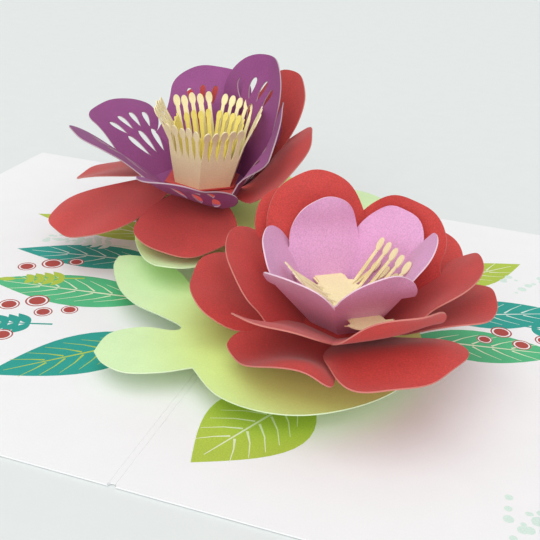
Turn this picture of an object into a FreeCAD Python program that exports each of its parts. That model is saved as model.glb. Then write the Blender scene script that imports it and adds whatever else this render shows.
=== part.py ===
import FreeCAD, Part

import math
import os

import Sketcher

from FreeCAD import Matrix, Placement, Rotation, Vector

# A greetings card that opens flat and carries two paper flowers on paper leaves.
# The frame: origin on the table under the middle of the open card, +X across
# the two panels, +Y along the fold, +Z up. Angles are in degrees.

SIZES = {
    # The card itself, scored twice along its fold.
    "card_length": 254.0,
    "card_depth": 177.8,
    "card_thickness": 0.4,
    "score_spacing": 1.6,
    "score_width": 0.4,
    "score_depth": 0.12,
    "notch_radius": 0.9,
    # The coloured paper of the leaves, the flowers and the strips under them.
    "paper_thickness": 0.35,
    "slot_clearance": 0.3,
    "fold_relief": 0.6,
    # The places of the two flowers on the card.
    "front_across": 31.0,
    "front_along": -23.0,
    "rear_across": -31.0,
    "rear_along": 33.0,
    # A folded strip carries each leaf sheet, and another one each flower.
    "riser_length": 30.0,
    "riser_width": 16.0,
    "front_riser_height": 6.5,
    "rear_riser_height": 14.0,
    "strut_length": 20.0,
    "strut_width": 15.0,
    "front_strut_height": 5.0,
    "rear_strut_height": 7.0,
    # From the flower's axis to the furthest tip of its leaf sheet.
    "leaf_reach": 75.0,
    # How far the petals of each flower lean over, and which way.
    "front_turn": -113.0,
    "front_lean": 12.0,
    "front_lean_heading": -96.0,
    "rear_turn": -75.0,
    "rear_lean": 27.0,
    "rear_lean_heading": -126.0,
    # The wide outer petals.
    "front_wide_floor": 11.8,
    "front_wide_length": 31.7,
    "front_wide_width": 30.7,
    "front_wide_shoulder": 21.9,
    "front_wide_slope": 18.0,
    "rear_wide_floor": 16.6,
    "rear_wide_length": 36.2,
    "rear_wide_width": 31.5,
    "rear_wide_shoulder": 22.5,
    "rear_wide_slope": 14.0,
    # The cup of petals inside them, with teardrop cut-outs in the rear flower.
    "front_cup_floor": 10.8,
    "front_cup_length": 32.9,
    "front_cup_width": 29.2,
    "front_cup_shoulder": 20.2,
    "front_cup_crease": 18.5,
    "front_cup_slope": 43.0,
    "rear_cup_floor": 15.6,
    "rear_cup_length": 38.2,
    "rear_cup_width": 29.8,
    "rear_cup_shoulder": 25.8,
    "rear_cup_crease": 14.9,
    "rear_cup_slope": 47.0,
    "teardrop_length": 8.0,
    "teardrop_width": 2.8,
    "teardrop_gap": 1.2,
    # The smallest cup, in the front flower only.
    "inner_floor": 8.7,
    "inner_length": 27.3,
    "inner_width": 20.9,
    "inner_shoulder": 16.8,
    "inner_crease": 16.9,
    "inner_slope": 57.0,
    # The stamens of the front flower: two bars through slots in the small cup.
    "bar_width": 9.0,
    "bar_height": 6.5,
    "bar_tab": 2.6,
    "bar_wing": 15.0,
    "finger_width": 1.5,
    "finger_head": 2.7,
    "bar_finger_length": 19.0,
    "bar_finger_slope": 50.0,
    "under_finger_length": 13.0,
    "under_finger_slope": 47.0,
    # The stamens of the rear flower: two crowns that stand to one side of a platform.
    "crown_turn": -108.0,
    "crown_lean": 5.0,
    "crown_lean_heading": 0.0,
    "crown_offset": 1.6,
    "crown_offset_heading": -38.0,
    "crown_floor": 10.2,
    "crown_band": 10.0,
    "crown_height": 25.0,
    "crown_slope": 78.0,
    "heart_floor": 7.0,
    "heart_band": 8.0,
    "heart_height": 20.0,
    "heart_slope": 79.0,
    "crown_hole": 3.0,
}

SIDES = 6
SIDE_ANGLE = 360.0 / SIDES
PETAL_WAVE = 0.018
FLANK_STEPS = 3
TIP_STEPS = 9
CROWN_FINGERS = {"crown": 5, "heart": 4}
# The length of the crowns' fingers on each side, as shares: the sides at the front are shorter.
FINGER_SHARES = (0.7, 1.0, 1.0, 1.0, 1.0, 0.75)
# Each row of teardrops from the shoulder down: how many, and the share of the drop length.
TEARDROP_ROWS = ((4, 0.8), (3, 1.2))
TEARDROP_SWING = 15.0
# The drops of a petal spread from a point this many drop lengths below the middle of their row.
TEARDROP_PIVOT = 2.2
# The front flower's bars cross the small cup from its right front side to the side behind.
FRONT_SIDE = 5
BACK_SIDE = 2
BAR_FINGERS = (5, 4)
UNDER_FINGERS = (4, 4)
WING_SHARE = 0.8
UP = Vector(0, 0, 1)

# How far the folds of each layer have settled, petal by petal and clockwise from its turn.
SETTLED = {
    "front_wide": (-1.5, -3.0, 18.0, 0.5, 1.5, 6.0),
    "front_cup": (-2.0, 0.5, 5.0, -0.5, -4.5, -1.0),
    "inner": (4.5, 2.5, -1.0, -9.5, 3.5, 8.0),
    "rear_wide": (-4.0, -4.5, -13.5, 4.0, 20.0, 16.0),
    "rear_cup": (-9.0, 14.5, -10.5, -8.0, 7.5, 3.0),
}

# How far the tips of the wide petals are cut to one side, petal by petal in the same order.
SWUNG = {
    "front_wide": (-6.5, 0.0, 0.0, 0.0, 0.0, 0.0),
    "rear_wide": (0.0, 0.0, 0.0, 0.0, 0.0, 0.0),
}

# The outline of a leaf sheet as shares of its reach, from the flower's axis. Each edge is a
# smooth curve from the last point of the edge before it, and they part at the leaf's points.
LEAF_START = (-0.97, 0.235)
LEAF_EDGES = (
    # The underside of the long lobe, the notch and the short lobe's upper side
    ((-0.945, 0.145), (-0.85, 0.01), (-0.745, -0.07), (-0.63, -0.107), (-0.548, -0.137),
     (-0.526, -0.163), (-0.553, -0.186), (-0.65, -0.203), (-0.735, -0.28), (-0.732, -0.395)),
    # The short lobe's lower side, in to the neck
    ((-0.675, -0.443), (-0.585, -0.467), (-0.48, -0.43), (-0.393, -0.37)),
    # The round body
    ((-0.27, -0.478), (-0.12, -0.51), (0.028, -0.472), (0.168, -0.357), (0.26, -0.2), (0.285, 0.0),
     (0.24, 0.17), (0.16, 0.32)),
    # The third lobe
    ((0.07, 0.51), (-0.03, 0.645), (-0.1, 0.69)),
    ((-0.22, 0.66), (-0.32, 0.52), (-0.36, 0.33), (-0.42, 0.17), (-0.52, 0.1)),
    # The upper side of the long lobe
    ((-0.6, 0.127), (-0.69, 0.21), (-0.8, 0.272), (-0.92, 0.265), (-0.97, 0.235)),
)

doc = FreeCAD.newDocument("pop_up_card")
sheet = doc.addObject("Spreadsheet::Sheet", "sizes")
for row, (alias, value) in enumerate(SIZES.items(), start=1):
    sheet.set("A%d" % row, alias)
    sheet.set("B%d" % row, str(value))
    sheet.setAlias("B%d" % row, alias)
doc.recompute()

subparts = []


def size(alias):
    """A driving size, read from the sheet."""
    return float(sheet.get(alias))


def keep(feature, label):
    """Name a finished sub-part after its piece."""
    feature.Label = label
    subparts.append(feature)
    return feature


def keep_shape(shape, label, place):
    """Turn a shape into a sub-part that stands at its place on the card."""
    feature = doc.addObject("Part::Feature", label)
    feature.Shape = shape
    feature.Placement = place
    return keep(feature, label)


# The card

def origin_plane(body, role):
    """One of a body's own origin planes, such as XY_Plane."""
    for feature in body.Origin.OriginFeatures:
        if feature.Role == role:
            return feature
    raise ValueError(role)


def bind(sketch, constraint, expression):
    """Add a dimension and tie it to the sheet."""
    index = sketch.addConstraint(constraint)
    sketch.setExpression("Constraints[%d]" % index, expression)


def flat_sketch(body, name, lift=""):
    """A sketch on the body's base plane, lifted by an expression where one is given."""
    sketch = body.newObject("Sketcher::SketchObject", name)
    sketch.AttachmentSupport = (origin_plane(body, "XY_Plane"), "")
    sketch.MapMode = "FlatFace"
    if lift:
        sketch.setExpression("AttachmentOffset.Base.z", lift)
    return sketch


def add_rectangle(sketch, width, depth, start=""):
    """A rectangle centred on the X axis, and on the Y axis too unless its left edge has a start."""
    corners = [Vector(2, -1, 0), Vector(4, -1, 0), Vector(4, 1, 0), Vector(2, 1, 0)]
    first = sketch.GeometryCount
    for i in range(4):
        sketch.addGeometry(Part.LineSegment(corners[i], corners[(i + 1) % 4]), False)
    for i in range(4):
        sketch.addConstraint(Sketcher.Constraint("Coincident", first + i, 2, first + (i + 1) % 4, 1))
    sketch.addConstraint(Sketcher.Constraint("Horizontal", first + 2))
    sketch.addConstraint(Sketcher.Constraint("Vertical", first + 1))
    sketch.addConstraint(Sketcher.Constraint("Symmetric", first, 1, first + 3, 1, -1))
    bind(sketch, Sketcher.Constraint("DistanceX", first, 1, first, 2, 2.0), width)
    bind(sketch, Sketcher.Constraint("DistanceY", first + 1, 1, first + 1, 2, 2.0), depth)
    if start:
        sketch.addConstraint(Sketcher.Constraint("Horizontal", first))
        bind(sketch, Sketcher.Constraint("DistanceX", -1, 1, first, 1, 2.0), start)
    else:
        sketch.addConstraint(Sketcher.Constraint("Symmetric", first, 1, first, 2, -2))


def add_circle(sketch, radius, along):
    """A circle centred on the fold line, some way along it."""
    first = sketch.GeometryCount
    sketch.addGeometry(Part.Circle(Vector(0, 1, 0), UP, 0.5), False)
    bind(sketch, Sketcher.Constraint("Radius", first, 0.5), radius)
    sketch.addConstraint(Sketcher.Constraint("PointOnObject", first, 3, -2))
    bind(sketch, Sketcher.Constraint("DistanceY", -1, 1, first, 3, 1.0), along)


def mirror(body, name, feature, role):
    """Repeat a feature on the other side of one of the body's planes."""
    copy = body.newObject("PartDesign::Mirrored", name)
    copy.Originals = [feature]
    copy.MirrorPlane = (origin_plane(body, role), [""])
    body.Tip = copy
    return copy


def make_card():
    """The sheet of card, scored for its fold, with a small round nick at each end of the fold."""
    body = doc.addObject("PartDesign::Body", "card_body")
    outline = flat_sketch(body, "card_outline")
    add_rectangle(outline, "sizes.card_length", "sizes.card_depth")
    pad = body.newObject("PartDesign::Pad", "card_pad")
    pad.Profile = outline
    pad.setExpression("Length", "sizes.card_thickness")

    score = flat_sketch(body, "score_outline", "sizes.card_thickness")
    add_rectangle(score, "sizes.score_width", "sizes.card_depth",
                  "(sizes.score_spacing - sizes.score_width) / 2")
    groove = body.newObject("PartDesign::Pocket", "score_groove")
    groove.Profile = score
    groove.setExpression("Length", "sizes.score_depth")
    mirror(body, "second_groove", groove, "YZ_Plane")

    nick = flat_sketch(body, "nick_outline", "sizes.card_thickness")
    add_circle(nick, "sizes.notch_radius", "sizes.card_depth / 2")
    notch = body.newObject("PartDesign::Pocket", "fold_nick")
    notch.Profile = nick
    notch.Type = "ThroughAll"
    mirror(body, "second_nick", notch, "XZ_Plane")
    keep(body, "card_sheet")


# The folded strips that carry the leaves and the flowers

def make_strip(label, length, width, bottom, height, across, along, turn):
    """A strip of paper folded into a flat-topped loop, open at both ends.

    Everything but the label is an expression.
    """
    shapes = []
    for name, wall in (("outside", "0"), ("inside", "sizes.paper_thickness")):
        block = doc.addObject("Part::Box", "%s_%s" % (label, name))
        block.setExpression("Length", length)
        block.setExpression("Width", "%s - 2 * %s" % (width, wall))
        block.setExpression("Height", "%s - 2 * %s" % (height, wall))
        block.setExpression("Placement.Base.x", "-(%s) / 2" % length)
        block.setExpression("Placement.Base.y", "-(%s) / 2 + %s" % (width, wall))
        block.setExpression("Placement.Base.z", "%s" % wall)
        shapes.append(block)
    loop = doc.addObject("Part::Cut", label)
    loop.Base, loop.Tool = shapes
    loop.setExpression("Placement.Base.x", across)
    loop.setExpression("Placement.Base.y", along)
    loop.setExpression("Placement.Base.z", bottom)
    loop.setExpression("Placement.Rotation.Angle", turn)
    loop.Placement.Rotation.Axis = UP
    keep(loop, label)


# Folded paper

def frame_placement(origin, x_axis, y_axis, z_axis):
    """The placement whose own axes point along three given directions."""
    return Placement(Matrix(
        x_axis.x, y_axis.x, z_axis.x, origin.x,
        x_axis.y, y_axis.y, z_axis.y, origin.y,
        x_axis.z, y_axis.z, z_axis.z, origin.z,
        0, 0, 0, 1))


def heading_vector(angle):
    """The level direction at an angle from +X."""
    return Vector(math.cos(math.radians(angle)), math.sin(math.radians(angle)), 0)


def block_beyond(point, toward, reach):
    """A block that fills everything past a plane, as far as the reach."""
    block = Part.makeBox(2 * reach, 2 * reach, reach, Vector(-reach, -reach, 0))
    block.Placement = Placement(point, Rotation(UP, toward))
    return block


def leaning_slopes(slope, lean, lean_heading, turn):
    """The slope of each petal of a layer that leans over: less on the side it leans to."""
    slopes = []
    for k in range(SIDES):
        away = math.radians(turn - SIDE_ANGLE * k - lean_heading)
        slopes.append(slope - lean * math.cos(away))
    return slopes


class Side:
    """One side of a six-sided floor: the middle of its fold and the flap that rises from it."""

    def __init__(self, floor_radius, heading, slope):
        self.out = heading_vector(heading)
        self.middle = self.out * (floor_radius * math.cos(math.radians(SIDE_ANGLE / 2)))
        self.across = UP.cross(self.out)
        self.rise = self.out * math.cos(math.radians(slope)) + UP * math.sin(math.radians(slope))
        self.inward = self.rise.cross(self.across)
        self.place = frame_placement(self.middle, self.across * -1, self.rise, self.inward)

    def flat(self, point):
        """A point of the flap in the flap's own flat coordinates."""
        return self.place.inverse().multVec(point)


def six_sides(floor_radius, turn, slopes):
    """The six sides of a floor, clockwise from the turn."""
    return [Side(floor_radius, turn - SIDE_ANGLE * k, slope) for k, slope in enumerate(slopes)]


def corner_between(one, other, floor_radius):
    """The corner of the floor between two neighbouring sides."""
    middle = one.out + other.out
    middle.normalize()
    return middle * floor_radius


def crease_between(one, other):
    """The direction of the crease that two neighbouring flaps share, pointing up."""
    crease = one.inward.cross(other.inward)
    crease.normalize()
    if crease.z < 0:
        crease = crease * -1
    return crease


def mitre_blocks(sides, k, floor_radius, reach):
    """The blocks past the two creases of a flap, where its neighbours take over."""
    blocks = []
    for j in (k - 1, (k + 1) % SIDES):
        corner = corner_between(sides[k], sides[j], floor_radius)
        crease = crease_between(sides[k], sides[j])
        toward = crease.cross(sides[k].inward + sides[j].inward)
        if toward.dot(sides[j].out - sides[k].out) < 0:
            toward = toward * -1
        blocks.append(block_beyond(corner, toward, reach))
    return blocks


def floor_block(side, reach):
    """The block under the mitre between a flap and the floor."""
    toward = side.across.cross(UP + side.inward)
    if toward.dot(side.out) > 0:
        toward = toward * -1
    return block_beyond(side.middle, toward, reach)


def make_floor(sides, floor_radius, hole_radius):
    """The six-sided floor of a folded layer, mitred against each flap."""
    thickness = size("paper_thickness")
    past_folds = floor_radius + 2 * thickness
    corners = [corner_between(sides[k - 1], sides[k], past_folds) for k in range(SIDES)]
    floor = Part.Face(Part.makePolygon(corners + corners[:1])).extrude(UP * thickness)
    for side in sides:
        toward = side.across.cross(UP + side.inward)
        if toward.dot(side.out) < 0:
            toward = toward * -1
        floor = floor.cut(block_beyond(side.middle, toward, floor_radius))
    if hole_radius:
        floor = floor.cut(Part.makeCylinder(hole_radius, thickness))
    return floor


def petal_flap(feet, half_width, shoulder, length, swing=0.0):
    """A flat petal: from its two feet out to the shoulder and over the tip.

    The feet are the right and left points where the petal parts from its neighbours. The tip
    may be cut to one side by a swing.
    """
    outline = []
    for sign, foot in ((1, feet[0]), (-1, feet[1])):
        flank = []
        for step in range(FLANK_STEPS):
            part = step / FLANK_STEPS
            spread = math.sin(part * math.pi / 2)
            flank.append(Vector(foot.x + (sign * half_width - foot.x) * spread,
                                foot.y + (shoulder - foot.y) * part, 0))
        outline.append(flank)
    tip = []
    for step in range(TIP_STEPS):
        angle = math.pi * step / (TIP_STEPS - 1)
        wave = 1 + PETAL_WAVE * math.cos(4 * angle)
        tip.append(Vector(half_width * math.cos(angle),
                          shoulder + (length - shoulder) * math.sin(angle) * wave, 0))
    points = outline[0] + tip + outline[1][::-1]
    for point in points:
        point.x += swing * ((point.y - feet[0].y) / (length - feet[0].y)) ** 2
    curve = Part.BSplineCurve()
    curve.interpolate(points)
    return curve.toShape()


def plate(edges, side):
    """A closed outline in a flap's flat coordinates, made into paper on that flap."""
    face = Part.Face(Part.Wire(edges))
    solid = face.extrude(UP * size("paper_thickness"))
    solid.Placement = side.place
    return solid


def cup_petal(sides, k, floor_radius, crease, half_width, shoulder, length):
    """One petal of a cup, joined to its neighbours along its creases and free above them."""
    side = sides[k]
    feet = []
    for j in (k - 1, (k + 1) % SIDES):
        corner = corner_between(side, sides[j], floor_radius)
        feet.append(side.flat(corner + crease_between(side, sides[j]) * crease))
    feet.sort(key=lambda foot: -foot.x)
    lobe = petal_flap(feet, half_width, shoulder, length)
    spare = 2 * size("paper_thickness")
    right = Vector(floor_radius / 2 + spare, -spare, 0)
    left = Vector(-right.x, right.y, 0)
    edges = [lobe, Part.LineSegment(feet[1], left).toShape(), Part.LineSegment(left, right).toShape(),
             Part.LineSegment(right, feet[0]).toShape()]
    petal = plate(edges, side)
    for block in mitre_blocks(sides, k, floor_radius, 2 * length) + [floor_block(side, length)]:
        petal = petal.cut(block)
    return petal


def make_cup(floor_radius, turn, slopes, crease, width, shoulder, length, hole_radius):
    """A folded cup: a six-sided floor and six petals that share creases up to their feet."""
    sides = six_sides(floor_radius, turn, slopes)
    cup = make_floor(sides, floor_radius, hole_radius)
    petals = [cup_petal(sides, k, floor_radius, crease, width / 2, shoulder, length)
              for k in range(SIDES)]
    return cup.fuse(petals).removeSplitter(), sides


def make_open_layer(floor_radius, turn, slopes, width, shoulder, length, swings, hole_radius):
    """A folded layer whose six petals part at the floor, with small reliefs at its corners."""
    sides = six_sides(floor_radius, turn, slopes)
    layer = make_floor(sides, floor_radius, hole_radius)
    half_foot = floor_radius / 2 - size("fold_relief")
    spare = 2 * size("paper_thickness")
    petals = []
    for side, swing in zip(sides, swings):
        feet = [Vector(half_foot, spare, 0), Vector(-half_foot, spare, 0)]
        right, left = Vector(half_foot, -spare, 0), Vector(-half_foot, -spare, 0)
        lobe = petal_flap(feet, width / 2, shoulder, length, swing)
        edges = [lobe, Part.LineSegment(feet[1], left).toShape(),
                 Part.LineSegment(left, right).toShape(), Part.LineSegment(right, feet[0]).toShape()]
        petals.append(plate(edges, side).cut(floor_block(side, length)))
    return layer.fuse(petals).removeSplitter()


def finger(foot, length):
    """A stamen: a slim stem from its foot with an oval head, flat in the flap's own coordinates."""
    thickness = size("paper_thickness")
    half = size("finger_width") / 2
    head = size("finger_head")
    stem = Part.makeBox(2 * half, length - head, thickness, Vector(-half, 0, 0))
    middle = Vector(0, length - head, 0)
    top, flank = Vector(0, length, 0), middle + Vector(head / 2, 0, 0)
    knob = Part.Face(Part.Wire(Part.Ellipse(top, flank, middle).toShape())).extrude(UP * thickness)
    stamen = stem.fuse(knob)
    stamen.translate(foot)
    return stamen


def make_crown(floor_radius, turn, slopes, band, height, fingers, hole_radius):
    """A folded crown of stamens: a six-sided band with a number of fingers along each side's top."""
    sides = six_sides(floor_radius, turn, slopes)
    crown = make_floor(sides, floor_radius, hole_radius)
    spare = 2 * size("paper_thickness")
    pieces = []
    for k, side in enumerate(sides):
        feet = []
        for j in (k - 1, (k + 1) % SIDES):
            corner = corner_between(side, sides[j], floor_radius)
            feet.append(side.flat(corner + crease_between(side, sides[j]) * band))
        feet.sort(key=lambda foot: -foot.x)
        right = Vector(floor_radius / 2 + spare, -spare, 0)
        left = Vector(-right.x, right.y, 0)
        wall = plate(Part.makePolygon([feet[0], feet[1], left, right, feet[0]]).Edges, side)
        for step in range(fingers):
            part = (step + 0.5) / fingers
            foot = feet[0] + (feet[1] - feet[0]) * part - Vector(0, spare, 0)
            stamen = finger(foot, (height - band) * FINGER_SHARES[k])
            stamen.Placement = side.place.multiply(stamen.Placement)
            wall = wall.fuse(stamen)
        for block in mitre_blocks(sides, k, floor_radius, 2 * height) + [floor_block(side, height)]:
            wall = wall.cut(block)
        pieces.append(wall)
    return crown.fuse(pieces).removeSplitter()


def teardrop(length, width):
    """A long drop with its round end up, centred on the origin, as a cutter through the paper."""
    thickness, radius = size("paper_thickness"), width / 2
    middle, tail = Vector(0, length / 2 - radius, 0), Vector(0, -length / 2, 0)
    reach = length - radius
    drop = radius / reach
    touch = Vector(radius * math.sqrt(1 - drop * drop), middle.y - radius * drop, 0)
    mirrored = Vector(-touch.x, touch.y, 0)
    head = Part.Arc(touch, Vector(0, length / 2, 0), mirrored).toShape()
    edges = [Part.LineSegment(tail, touch).toShape(), head, Part.LineSegment(mirrored, tail).toShape()]
    cutter = Part.Face(Part.Wire(edges)).extrude(UP * 3 * thickness)
    cutter.translate(Vector(0, 0, -thickness))
    return cutter


def teardrops(side):
    """The cut-outs of a petal: drops with their round ends toward the tip, in rows."""
    length, width = size("teardrop_length"), size("teardrop_width")
    top = size("rear_cup_shoulder") + length / 2
    drops = []
    for count, share in TEARDROP_ROWS:
        reach = top - share * length / 2
        for i in range(count):
            drop = teardrop(share * length, width)
            drop.translate(Vector(0, reach, 0))
            swing = (i - (count - 1) / 2) * TEARDROP_SWING
            drop.rotate(Vector(0, reach - TEARDROP_PIVOT * length, 0), UP, -swing)
            drop.Placement = side.place.multiply(drop.Placement)
            drops.append(drop)
        top -= share * length + size("teardrop_gap")
    return drops


# The leaf sheets

def make_leaf():
    """A flat leaf sheet: a round body, two lobes with a rounded notch between them and a third lobe."""
    reach = size("leaf_reach")
    start = Vector(*LEAF_START, 0) * reach
    edges = []
    for shares in LEAF_EDGES:
        points = [start] + [Vector(*share, 0) * reach for share in shares]
        curve = Part.BSplineCurve()
        curve.interpolate(points)
        edges.append(curve.toShape())
        start = points[-1]
    return Part.Face(Part.Wire(edges)).extrude(UP * size("paper_thickness"))


# The stamens of the front flower

def wing(side, width, count, slope, length):
    """A row of fingers that folds up from one long edge of a bar, side being 1 or -1."""
    thickness, run = size("paper_thickness"), size("bar_wing")
    fold = Vector(0, side * width / 2, 0)
    rise = Vector(0, side * math.cos(math.radians(slope)), math.sin(math.radians(slope)))
    along = Vector(side, 0, 0)
    place = frame_placement(fold, along, rise, along.cross(rise))
    root = Part.makeBox(run, 3 * thickness, thickness, Vector(-run / 2, 0, 0))
    root.Placement = place
    fingers = []
    for i in range(count):
        foot = Vector((i - (count - 1) / 2) * run / count, 0, 0)
        stamen = finger(foot, length)
        stamen.Placement = place.multiply(stamen.Placement)
        fingers.append(stamen)
    return root.fuse(fingers)


def make_bar(front_end, back_end, width, slope, counts, length):
    """A level bar that reaches through both sides of the small cup, with a wing along each edge."""
    bar = Part.makeBox(front_end + back_end, width, size("paper_thickness"),
                       Vector(-back_end, -width / 2, 0))
    wings = [wing(1, width, counts[0], slope, length),
             wing(-1, width, counts[1], slope, WING_SHARE * length)]
    return bar.fuse(wings).removeSplitter()


def wall_reach(side, height):
    """How far from the axis the underside of a flap lies at a height over the floor."""
    return side.middle.Length + height * side.out.dot(side.rise) / side.rise.z


# The pieces

def stand(flower, height, turn=0.0):
    """The place of a layer on its flower's axis, at a height over the table."""
    return Placement(Vector(size(flower + "_across"), size(flower + "_along"), height),
                     Rotation(UP, turn))


def flower_floor(flower):
    """The height over the table at which a flower's lowest layer lies on its strut."""
    return (size("card_thickness") + size(flower + "_riser_height") + size("paper_thickness")
            + size(flower + "_strut_height"))


def petal_slopes(flower, layer):
    """The slopes of a layer's petals, which lean the way their flower does and have settled."""
    slopes = leaning_slopes(size(layer + "_slope"), size(flower + "_lean"),
                            size(flower + "_lean_heading"), size(flower + "_turn"))
    return [slope + settled for slope, settled in zip(slopes, SETTLED[layer])]


def make_supports(flower):
    """The strip under a leaf sheet and the strip between the leaf sheet and the flower."""
    across, along = "sizes.%s_across" % flower, "sizes.%s_along" % flower
    turn, riser = "sizes.%s_turn" % flower, "sizes.%s_riser_height" % flower
    make_strip(flower + "_leaf_riser", "sizes.riser_length", "sizes.riser_width",
               "sizes.card_thickness", riser, across, along, turn)
    make_strip(flower + "_flower_strut", "sizes.strut_length", "sizes.strut_width",
               "sizes.card_thickness + %s + sizes.paper_thickness" % riser,
               "sizes.%s_strut_height" % flower, across, along, turn)


def make_leaf_sheet(flower, lobes_turn):
    """A flower's leaf sheet on its riser."""
    height = size("card_thickness") + size(flower + "_riser_height")
    keep_shape(make_leaf(), flower + "_leaf_sheet", stand(flower, height, lobes_turn))


def make_wide_petals(flower):
    """A flower's six wide outer petals."""
    layer = flower + "_wide"
    wide = make_open_layer(size(layer + "_floor"), size(flower + "_turn"), petal_slopes(flower, layer),
                           size(layer + "_width"), size(layer + "_shoulder"),
                           size(layer + "_length"), SWUNG[layer], size("crown_hole"))
    keep_shape(wide, layer + "_petals", stand(flower, flower_floor(flower)))


def make_cup_petals(flower, cut_out):
    """A flower's cup of petals, with teardrops cut out of it where it has them."""
    layer = flower + "_cup"
    cup, sides = make_cup(size(layer + "_floor"), size(flower + "_turn"), petal_slopes(flower, layer),
                          size(layer + "_crease"), size(layer + "_width"),
                          size(layer + "_shoulder"), size(layer + "_length"), size("crown_hole"))
    if cut_out:
        cup = cup.cut([drop for side in sides for drop in teardrops(side)])
    height = flower_floor(flower) + size("paper_thickness")
    keep_shape(cup, layer + "_petals", stand(flower, height))


def make_front_heart():
    """The small cup of the front flower and the two stamen bars through its slots."""
    thickness, clearance = size("paper_thickness"), size("slot_clearance")
    turn = size("front_turn")
    cup, sides = make_cup(size("inner_floor"), turn, petal_slopes("front", "inner"),
                          size("inner_crease"), size("inner_width"), size("inner_shoulder"),
                          size("inner_length"), size("crown_hole"))
    height = size("bar_height")
    front_end = wall_reach(sides[FRONT_SIDE], height) + size("bar_tab")
    back_end = wall_reach(sides[BACK_SIDE], height) + size("bar_tab")
    slot = Part.makeBox(front_end + back_end, size("bar_width") + 2 * clearance,
                        2 * thickness + 2 * clearance,
                        Vector(-back_end, -size("bar_width") / 2 - clearance, height - clearance))
    bar_turn = turn - SIDE_ANGLE * FRONT_SIDE
    slot.rotate(Vector(0, 0, 0), UP, bar_turn)
    floor = flower_floor("front") + 2 * thickness
    keep_shape(cup.cut(slot), "front_inner_petals", stand("front", floor))

    under = make_bar(front_end, back_end, size("bar_width"), size("under_finger_slope"),
                     UNDER_FINGERS, size("under_finger_length"))
    keep_shape(under, "front_under_stamens", stand("front", floor + height, bar_turn))
    upper_width = size("bar_width") - 2 * (thickness + clearance)
    upper = make_bar(front_end, back_end, upper_width, size("bar_finger_slope"),
                     BAR_FINGERS, size("bar_finger_length"))
    keep_shape(upper, "front_stamens", stand("front", floor + height + thickness, bar_turn))


def make_rear_heart():
    """The platform in the rear cup and the two crowns of stamens that stand on it."""
    thickness, turn = size("paper_thickness"), size("crown_turn")
    radius = (size("rear_cup_floor") * math.cos(math.radians(SIDE_ANGLE / 2))
              - thickness - size("slot_clearance"))
    flat_sides = six_sides(radius, turn, [0.0] * SIDES)
    corners = [corner_between(flat_sides[k - 1], flat_sides[k], radius) for k in range(SIDES)]
    platform = Part.Face(Part.makePolygon(corners + corners[:1])).extrude(UP * thickness)
    floor = flower_floor("rear") + 2 * thickness
    keep_shape(platform, "rear_centre_platform", stand("rear", floor))
    offset = heading_vector(size("crown_offset_heading")) * size("crown_offset")
    for level, (name, part_name) in enumerate((("crown", "outer"), ("heart", "inner")), start=1):
        slopes = leaning_slopes(size(name + "_slope"), size("crown_lean"), size("crown_lean_heading"), turn)
        crown = make_crown(size(name + "_floor"), turn, slopes, size(name + "_band"),
                           size(name + "_height"), CROWN_FINGERS[name], size("crown_hole"))
        place = stand("rear", floor + level * thickness)
        place.Base += offset
        keep_shape(crown, "rear_%s_stamens" % part_name, place)


make_card()
make_supports("front")
make_supports("rear")
make_leaf_sheet("front", 0.0)
make_leaf_sheet("rear", 180.0)
for flower in ("front", "rear"):
    make_wide_petals(flower)
    make_cup_petals(flower, flower == "rear")
make_front_heart()
make_rear_heart()

# Every piece has to be whole before any is written.
doc.recompute()
for thing in doc.Objects:
    if "Invalid" in thing.State or "Error" in thing.State:
        raise RuntimeError("%s is %s" % (thing.Label, thing.State))
for feature in subparts:
    if feature.Shape.isNull() or not feature.Shape.isValid():
        raise RuntimeError("%s has no valid shape" % feature.Label)

os.makedirs("parts", exist_ok=True)
for feature in subparts:
    feature.Shape.exportStep("parts/%s.step" % feature.Label)
    bounds = feature.Shape.BoundBox
    print("%-22s solids %d  volume %8.1f  z %5.1f to %5.1f" % (
        feature.Label, len(feature.Shape.Solids), feature.Shape.Volume, bounds.ZMin, bounds.ZMax))
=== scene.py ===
import math
import random

import bmesh
import bpy
from mathutils import Matrix, Vector
from mathutils.geometry import delaunay_2d_cdt


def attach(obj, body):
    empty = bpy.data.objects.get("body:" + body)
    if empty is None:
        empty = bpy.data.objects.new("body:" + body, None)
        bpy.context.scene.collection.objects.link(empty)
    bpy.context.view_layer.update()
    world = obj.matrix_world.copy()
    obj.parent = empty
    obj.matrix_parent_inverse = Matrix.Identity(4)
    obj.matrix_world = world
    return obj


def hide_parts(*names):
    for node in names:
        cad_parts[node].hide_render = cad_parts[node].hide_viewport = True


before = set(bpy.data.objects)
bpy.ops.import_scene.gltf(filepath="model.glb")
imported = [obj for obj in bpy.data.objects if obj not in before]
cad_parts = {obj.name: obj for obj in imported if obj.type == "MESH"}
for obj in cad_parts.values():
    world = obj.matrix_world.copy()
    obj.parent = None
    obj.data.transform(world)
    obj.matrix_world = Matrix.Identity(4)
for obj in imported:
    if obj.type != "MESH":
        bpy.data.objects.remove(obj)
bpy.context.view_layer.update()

# A greetings card that lies open with two paper flowers on it. Lengths in this script are
# millimetres until a mesh is made, unless a comment says metres. Angles are in degrees.
MM = 0.001
UP = Vector((0, 0, 1))
SIDES = 6
SIDE_ANGLE = 360 / SIDES

# The card and the paper
CARD_LENGTH, CARD_DEPTH, CARD_THICKNESS = 254.0, 177.8, 0.4
NOTCH_RADIUS = 0.9
SCORE_SPACING, SCORE_WIDTH, SCORE_DEPTH = 1.6, 0.4, 0.12
PAPER = 0.35
FOLD_RELIEF = 0.6
FLOOR_HOLE = 3.0

# How finely outlines are divided
GRID = 2.2
LEAF_GRID = 3.0
FOLD_STEPS = 8
CREASE_STEPS = 8
FLANK_STEPS = 10
TIP_STEPS = 36
ARC_STEPS = 12

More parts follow.
